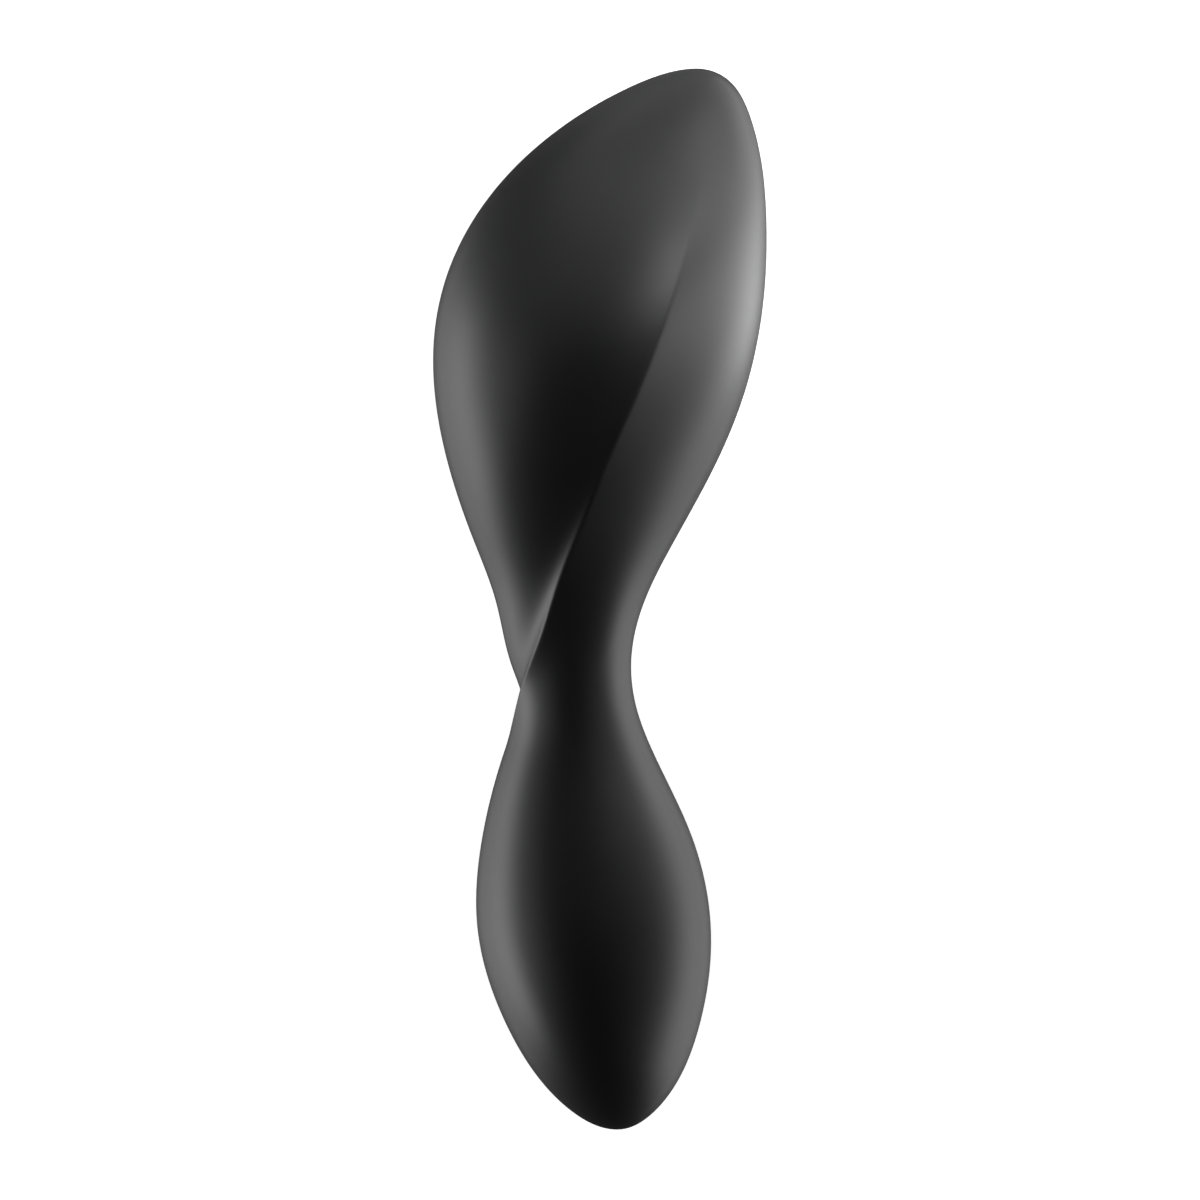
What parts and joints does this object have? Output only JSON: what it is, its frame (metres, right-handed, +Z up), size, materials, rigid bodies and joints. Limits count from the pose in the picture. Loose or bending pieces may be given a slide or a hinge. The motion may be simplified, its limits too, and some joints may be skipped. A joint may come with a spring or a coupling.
{
  "type": "handheld massager",
  "caption": "Two-lobed handheld vibrating massager with a leaf-shaped head, a narrow neck and a seamless soft silicone skin with one sharp ridge.",
  "frame": {"origin": "middle of the footprint, at the height of the surface the massager lies on", "axes": "+X across the body, +Y along it towards the large head, +Z up, away from the surface it lies on"},
  "size_m": [0.0518, 0.165, 0.0414],
  "materials": {
    "skin_silicone": "matte soft-touch",
    "core_plastic": "moulded, fine texture",
    "panel_gloss": "polished",
    "gasket_foam": "closed-cell foam",
    "button_gloss": "satin",
    "seal_rubber": "matte",
    "contact_gold": "gold plated",
    "clear_plastic": "frosted light pipe",
    "led_white": "moulded",
    "board_green": "solder mask",
    "chip_black": "moulded epoxy",
    "ceramic_tan": "ceramic",
    "switch_steel": "pressed",
    "plunger_black": "moulded",
    "cell_wrap": "shrink sleeve",
    "foam_grey": "open-cell foam",
    "wire_red": "insulation",
    "wire_black": "insulation",
    "screw_steel": "zinc plated",
    "can_steel": "drawn",
    "magnet_ferrite": "sintered",
    "bush_bronze": "sintered",
    "brush_carbon": "pressed carbon",
    "mount_rubber": "matte",
    "shaft_steel": "ground",
    "winding_copper": "enamelled copper",
    "weight_steel": "sintered"
  },
  "bodies": {
    "massager_body": {"battery_cell": "cell_wrap", "battery_foam_pads": "foam_grey", "battery_lead_black": "wire_black", "battery_lead_red": "wire_red", "battery_safety_board": "board_green", "board_capacitors": "ceramic_tan", "button_seals": "seal_rubber", "charge_controller_chip": "chip_black", "charging_contact_seals": "seal_rubber", "charging_contacts": "contact_gold", "circuit_board": "board_green", "control_panel_bezel": "panel_gloss", "control_panel_gasket": "gasket_foam", "controller_chip": "chip_black", "core_shell_lower": "core_plastic", "core_shell_screws": "screw_steel", "core_shell_upper": "core_plastic", "head_motor_brushes": "brush_carbon", "head_motor_bushings": "bush_bronze", "head_motor_can": "can_steel", "head_motor_endcap": "chip_black", "head_motor_leads": "wire_black", "head_motor_magnets": "magnet_ferrite", "head_motor_mount": "mount_rubber", "led_light_pipe": "clear_plastic", "mode_switch_base": "switch_steel", "motor_driver_transistors": "chip_black", "power_switch_base": "switch_steel", "silicone_skin": "skin_silicone", "status_led": "led_white", "tip_motor_brushes": "brush_carbon", "tip_motor_bushings": "bush_bronze", "tip_motor_can": "can_steel", "tip_motor_endcap": "chip_black", "tip_motor_leads": "wire_black", "tip_motor_magnets": "magnet_ferrite", "tip_motor_mount": "mount_rubber"},
    "head_rotor": {"head_rotor_armature": "winding_copper", "head_rotor_commutator": "winding_copper", "head_rotor_shaft": "shaft_steel", "head_rotor_weight": "weight_steel"},
    "tip_rotor": {"tip_rotor_armature": "winding_copper", "tip_rotor_commutator": "winding_copper", "tip_rotor_shaft": "shaft_steel", "tip_rotor_weight": "weight_steel"},
    "power_button": {"power_button": "button_gloss"},
    "mode_button": {"mode_button": "button_gloss"},
    "power_switch_plunger": {"power_switch_plunger": "plunger_black"},
    "mode_switch_plunger": {"mode_switch_plunger": "plunger_black"}
  },
  "joints": [
    {"name": "head_motor_spin", "type": "hinge", "parent": "massager_body", "child": "head_rotor", "pos_m": [-0.0083, 0.0335, 0.02], "axis": [0, 1, 0], "continuous": true},
    {"name": "tip_motor_spin", "type": "hinge", "parent": "massager_body", "child": "tip_rotor", "pos_m": [-0.001, -0.048, 0.0163], "axis": [0, -1, 0], "continuous": true},
    {"name": "power_button_press", "type": "slide", "parent": "massager_body", "child": "power_button", "axis": [0.5455, -0.6111, 0.5736], "range_m": [0, 0.0006], "stiffness_N_per_m": 1500, "springref_m": -0.0004},
    {"name": "mode_button_press", "type": "slide", "parent": "massager_body", "child": "mode_button", "axis": [0.5455, -0.6111, 0.5736], "range_m": [0, 0.0006], "stiffness_N_per_m": 1500, "springref_m": -0.0004},
    {"name": "power_switch_travel", "type": "slide", "parent": "massager_body", "child": "power_switch_plunger", "axis": [0.5455, -0.6111, 0.5736], "range_m": [0, 0.0006]},
    {"name": "mode_switch_travel", "type": "slide", "parent": "massager_body", "child": "mode_switch_plunger", "axis": [0.5455, -0.6111, 0.5736], "range_m": [0, 0.0006]}
  ],
  "couplings": [
    {"joint": "power_switch_travel", "follows": "power_button_press", "ratio": 1},
    {"joint": "mode_switch_travel", "follows": "mode_button_press", "ratio": 1}
  ]
}
